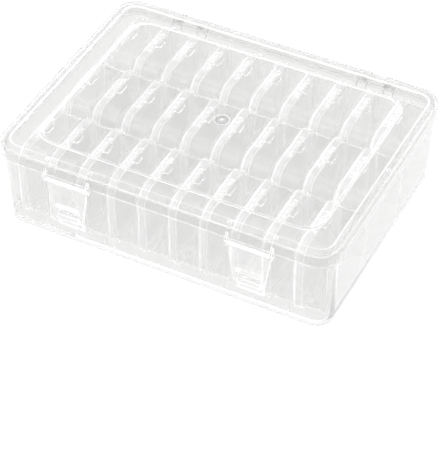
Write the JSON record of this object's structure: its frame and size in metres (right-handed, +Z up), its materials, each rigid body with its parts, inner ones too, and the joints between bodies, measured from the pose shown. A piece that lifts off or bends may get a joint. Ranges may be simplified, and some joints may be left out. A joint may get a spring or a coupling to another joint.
{
  "type": "bead storage box",
  "caption": "Clear rectangular storage case with a hinged, latched lid, filled with rows of small clear hinged boxes standing on edge, for sorting beads and craft parts.",
  "frame": {"origin": "centre of the footprint, at the level of the foot ring", "axes": "+X is the width (left to right), -Y is the front with the two latches, +Z is up"},
  "size_m": [0.24, 0.1856, 0.0637],
  "materials": {
    "case_clear": "clear polished plastic",
    "latch_clear": "clear polished plastic",
    "box_clear": "clear polished plastic",
    "box_lid_clear": "clear polished plastic"
  },
  "bodies": {
    "case": {"case_body": "case_clear"},
    "lid": {"case_lid": "case_clear"},
    "latch_l": {"latch_left": "latch_clear"},
    "latch_r": {"latch_right": "latch_clear"},
    "box_front_01": {"mini_base_front_01": "box_clear", "mini_lid_front_01": "box_lid_clear"},
    "box_front_02": {"mini_base_front_02": "box_clear", "mini_lid_front_02": "box_lid_clear"},
    "box_front_03": {"mini_base_front_03": "box_clear", "mini_lid_front_03": "box_lid_clear"},
    "box_front_04": {"mini_base_front_04": "box_clear", "mini_lid_front_04": "box_lid_clear"},
    "box_front_05": {"mini_base_front_05": "box_clear", "mini_lid_front_05": "box_lid_clear"},
    "box_front_06": {"mini_base_front_06": "box_clear", "mini_lid_front_06": "box_lid_clear"},
    "box_front_07": {"mini_base_front_07": "box_clear", "mini_lid_front_07": "box_lid_clear"},
    "box_front_08": {"mini_base_front_08": "box_clear", "mini_lid_front_08": "box_lid_clear"},
    "box_front_09": {"mini_base_front_09": "box_clear", "mini_lid_front_09": "box_lid_clear"},
    "box_front_10": {"mini_base_front_10": "box_clear", "mini_lid_front_10": "box_lid_clear"},
    "box_middle_01": {"mini_base_middle_01": "box_clear", "mini_lid_middle_01": "box_lid_clear"},
    "box_middle_02": {"mini_base_middle_02": "box_clear", "mini_lid_middle_02": "box_lid_clear"},
    "box_middle_03": {"mini_base_middle_03": "box_clear", "mini_lid_middle_03": "box_lid_clear"},
    "box_middle_04": {"mini_base_middle_04": "box_clear", "mini_lid_middle_04": "box_lid_clear"},
    "box_middle_05": {"mini_base_middle_05": "box_clear", "mini_lid_middle_05": "box_lid_clear"},
    "box_middle_06": {"mini_base_middle_06": "box_clear", "mini_lid_middle_06": "box_lid_clear"},
    "box_middle_07": {"mini_base_middle_07": "box_clear", "mini_lid_middle_07": "box_lid_clear"},
    "box_middle_08": {"mini_base_middle_08": "box_clear", "mini_lid_middle_08": "box_lid_clear"},
    "box_middle_09": {"mini_base_middle_09": "box_clear", "mini_lid_middle_09": "box_lid_clear"},
    "box_middle_10": {"mini_base_middle_10": "box_clear", "mini_lid_middle_10": "box_lid_clear"},
    "box_back_01": {"mini_box_back_01": "box_clear"},
    "box_back_02": {"mini_box_back_02": "box_clear"},
    "box_back_03": {"mini_box_back_03": "box_clear"},
    "box_back_04": {"mini_box_back_04": "box_clear"},
    "box_back_05": {"mini_box_back_05": "box_clear"},
    "box_back_06": {"mini_box_back_06": "box_clear"},
    "box_back_07": {"mini_box_back_07": "box_clear"},
    "box_back_08": {"mini_box_back_08": "box_clear"},
    "box_back_09": {"mini_box_back_09": "box_clear"},
    "box_back_10": {"mini_box_back_10": "box_clear"}
  },
  "joints": [
    {"name": "case_lid_hinge", "type": "hinge", "parent": "case", "child": "lid", "pos_m": [0, 0.0912, 0.054], "axis": [-1, 0, 0], "range_deg": [0, 110]},
    {"name": "latch_left_hinge", "type": "hinge", "parent": "lid", "child": "latch_l", "pos_m": [-0.0644, -0.0906, 0.0513], "axis": [-1, 0, 0], "range_deg": [0, 90]},
    {"name": "latch_right_hinge", "type": "hinge", "parent": "lid", "child": "latch_r", "pos_m": [0.0644, -0.0906, 0.0513], "axis": [-1, 0, 0], "range_deg": [0, 90]},
    {"name": "lift_front_01", "type": "slide", "parent": "case", "child": "box_front_01", "axis": [0, 0, 1], "range_m": [0, 0.0013]},
    {"name": "lift_front_02", "type": "slide", "parent": "case", "child": "box_front_02", "axis": [0, 0, 1], "range_m": [0, 0.0013]},
    {"name": "lift_front_03", "type": "slide", "parent": "case", "child": "box_front_03", "axis": [0, 0, 1], "range_m": [0, 0.0013]},
    {"name": "lift_front_04", "type": "slide", "parent": "case", "child": "box_front_04", "axis": [0, 0, 1], "range_m": [0, 0.0013]},
    {"name": "lift_front_05", "type": "slide", "parent": "case", "child": "box_front_05", "axis": [0, 0, 1], "range_m": [0, 0.0013]},
    {"name": "lift_front_06", "type": "slide", "parent": "case", "child": "box_front_06", "axis": [0, 0, 1], "range_m": [0, 0.0013]},
    {"name": "lift_front_07", "type": "slide", "parent": "case", "child": "box_front_07", "axis": [0, 0, 1], "range_m": [0, 0.0013]},
    {"name": "lift_front_08", "type": "slide", "parent": "case", "child": "box_front_08", "axis": [0, 0, 1], "range_m": [0, 0.0013]},
    {"name": "lift_front_09", "type": "slide", "parent": "case", "child": "box_front_09", "axis": [0, 0, 1], "range_m": [0, 0.0013]},
    {"name": "lift_front_10", "type": "slide", "parent": "case", "child": "box_front_10", "axis": [0, 0, 1], "range_m": [0, 0.0013]},
    {"name": "lift_middle_01", "type": "slide", "parent": "case", "child": "box_middle_01", "axis": [0, 0, 1], "range_m": [0, 0.0013]},
    {"name": "lift_middle_02", "type": "slide", "parent": "case", "child": "box_middle_02", "axis": [0, 0, 1], "range_m": [0, 0.0013]},
    {"name": "lift_middle_03", "type": "slide", "parent": "case", "child": "box_middle_03", "axis": [0, 0, 1], "range_m": [0, 0.0013]},
    {"name": "lift_middle_04", "type": "slide", "parent": "case", "child": "box_middle_04", "axis": [0, 0, 1], "range_m": [0, 0.0013]},
    {"name": "lift_middle_05", "type": "slide", "parent": "case", "child": "box_middle_05", "axis": [0, 0, 1], "range_m": [0, 0.0013]},
    {"name": "lift_middle_06", "type": "slide", "parent": "case", "child": "box_middle_06", "axis": [0, 0, 1], "range_m": [0, 0.0013]},
    {"name": "lift_middle_07", "type": "slide", "parent": "case", "child": "box_middle_07", "axis": [0, 0, 1], "range_m": [0, 0.0013]},
    {"name": "lift_middle_08", "type": "slide", "parent": "case", "child": "box_middle_08", "axis": [0, 0, 1], "range_m": [0, 0.0013]},
    {"name": "lift_middle_09", "type": "slide", "parent": "case", "child": "box_middle_09", "axis": [0, 0, 1], "range_m": [0, 0.0013]},
    {"name": "lift_middle_10", "type": "slide", "parent": "case", "child": "box_middle_10", "axis": [0, 0, 1], "range_m": [0, 0.0013]},
    {"name": "lift_back_01", "type": "slide", "parent": "case", "child": "box_back_01", "axis": [0, 0, 1], "range_m": [0, 0.0013]},
    {"name": "lift_back_02", "type": "slide", "parent": "case", "child": "box_back_02", "axis": [0, 0, 1], "range_m": [0, 0.0013]},
    {"name": "lift_back_03", "type": "slide", "parent": "case", "child": "box_back_03", "axis": [0, 0, 1], "range_m": [0, 0.0013]},
    {"name": "lift_back_04", "type": "slide", "parent": "case", "child": "box_back_04", "axis": [0, 0, 1], "range_m": [0, 0.0013]},
    {"name": "lift_back_05", "type": "slide", "parent": "case", "child": "box_back_05", "axis": [0, 0, 1], "range_m": [0, 0.0013]},
    {"name": "lift_back_06", "type": "slide", "parent": "case", "child": "box_back_06", "axis": [0, 0, 1], "range_m": [0, 0.0013]},
    {"name": "lift_back_07", "type": "slide", "parent": "case", "child": "box_back_07", "axis": [0, 0, 1], "range_m": [0, 0.0013]},
    {"name": "lift_back_08", "type": "slide", "parent": "case", "child": "box_back_08", "axis": [0, 0, 1], "range_m": [0, 0.0013]},
    {"name": "lift_back_09", "type": "slide", "parent": "case", "child": "box_back_09", "axis": [0, 0, 1], "range_m": [0, 0.0013]},
    {"name": "lift_back_10", "type": "slide", "parent": "case", "child": "box_back_10", "axis": [0, 0, 1], "range_m": [0, 0.0013]}
  ]
}
